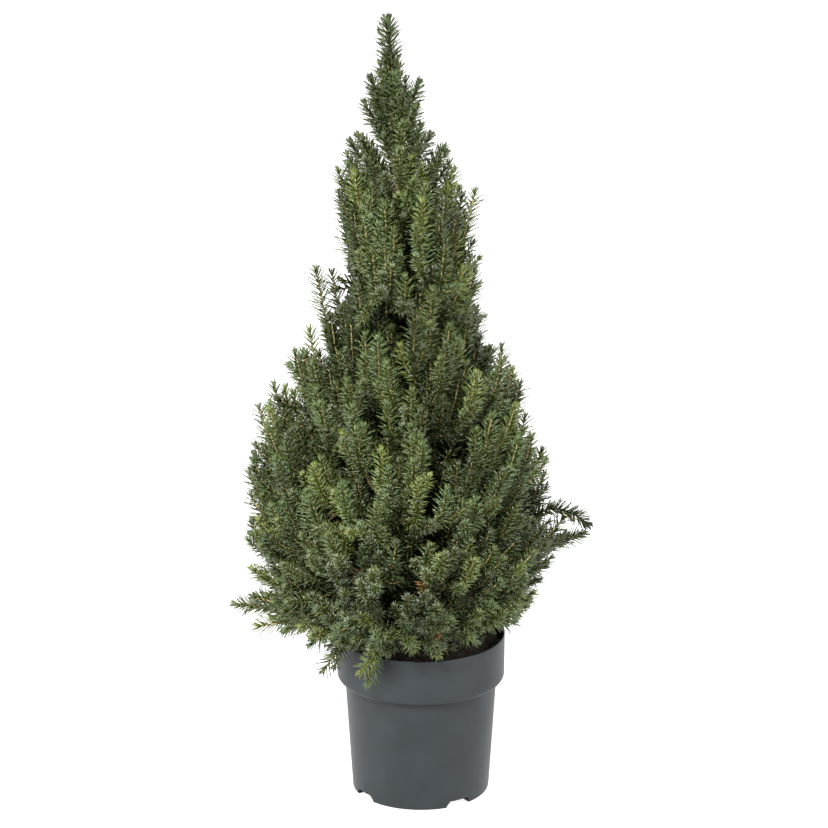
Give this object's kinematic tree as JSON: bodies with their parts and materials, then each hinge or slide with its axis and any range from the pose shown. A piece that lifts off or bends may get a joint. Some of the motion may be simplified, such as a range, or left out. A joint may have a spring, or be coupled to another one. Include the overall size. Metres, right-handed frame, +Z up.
{
  "type": "potted dwarf spruce",
  "caption": "Small cone-shaped conifer with dense short-needled shoots, standing in a filled round nursery pot with a deep collar.",
  "frame": {"origin": "centre of the pot's flat underside, on the ground", "axes": "+Z up along the tree, the long droopy spray at the left towards -X, the front of the picture towards -Y"},
  "size_m": [0.4024, 0.3289, 0.8931],
  "materials": {
    "pot": "satin dark slate grey plastic",
    "soil": "moist crumbly dark potting soil",
    "bark": "rough brown bark, lighter and orange on young twigs",
    "needles": "mid to dark green needles with a soft sheen"
  },
  "bodies": {
    "root": {"pot": "pot", "soil": "soil", "trunk": "bark", "bough_skirt_1": "bark", "foliage_skirt_1": "needles", "bough_skirt_2": "bark", "foliage_skirt_2": "needles", "bough_skirt_3": "bark", "foliage_skirt_3": "needles", "bough_skirt_4": "bark", "foliage_skirt_4": "needles", "bough_skirt_5": "bark", "foliage_skirt_5": "needles", "bough_skirt_6": "bark", "foliage_skirt_6": "needles", "bough_lower_1": "bark", "foliage_lower_1": "needles", "bough_lower_2": "bark", "foliage_lower_2": "needles", "bough_lower_3": "bark", "foliage_lower_3": "needles", "bough_lower_4": "bark", "foliage_lower_4": "needles", "bough_lower_5": "bark", "foliage_lower_5": "needles", "bough_lower_6": "bark", "foliage_lower_6": "needles", "bough_middle_1": "bark", "foliage_middle_1": "needles", "bough_middle_2": "bark", "foliage_middle_2": "needles", "bough_middle_3": "bark", "foliage_middle_3": "needles", "bough_middle_4": "bark", "foliage_middle_4": "needles", "bough_middle_5": "bark", "foliage_middle_5": "needles", "bough_middle_6": "bark", "foliage_middle_6": "needles", "bough_upper_1": "bark", "foliage_upper_1": "needles", "bough_upper_2": "bark", "foliage_upper_2": "needles", "bough_upper_3": "bark", "foliage_upper_3": "needles", "bough_upper_4": "bark", "foliage_upper_4": "needles", "bough_upper_5": "bark", "foliage_upper_5": "needles", "bough_shoulder_1": "bark", "foliage_shoulder_1": "needles", "bough_shoulder_2": "bark", "foliage_shoulder_2": "needles", "bough_shoulder_3": "bark", "foliage_shoulder_3": "needles", "bough_shoulder_4": "bark", "foliage_shoulder_4": "needles", "foliage_leader": "needles"}
  },
  "joints": []
}
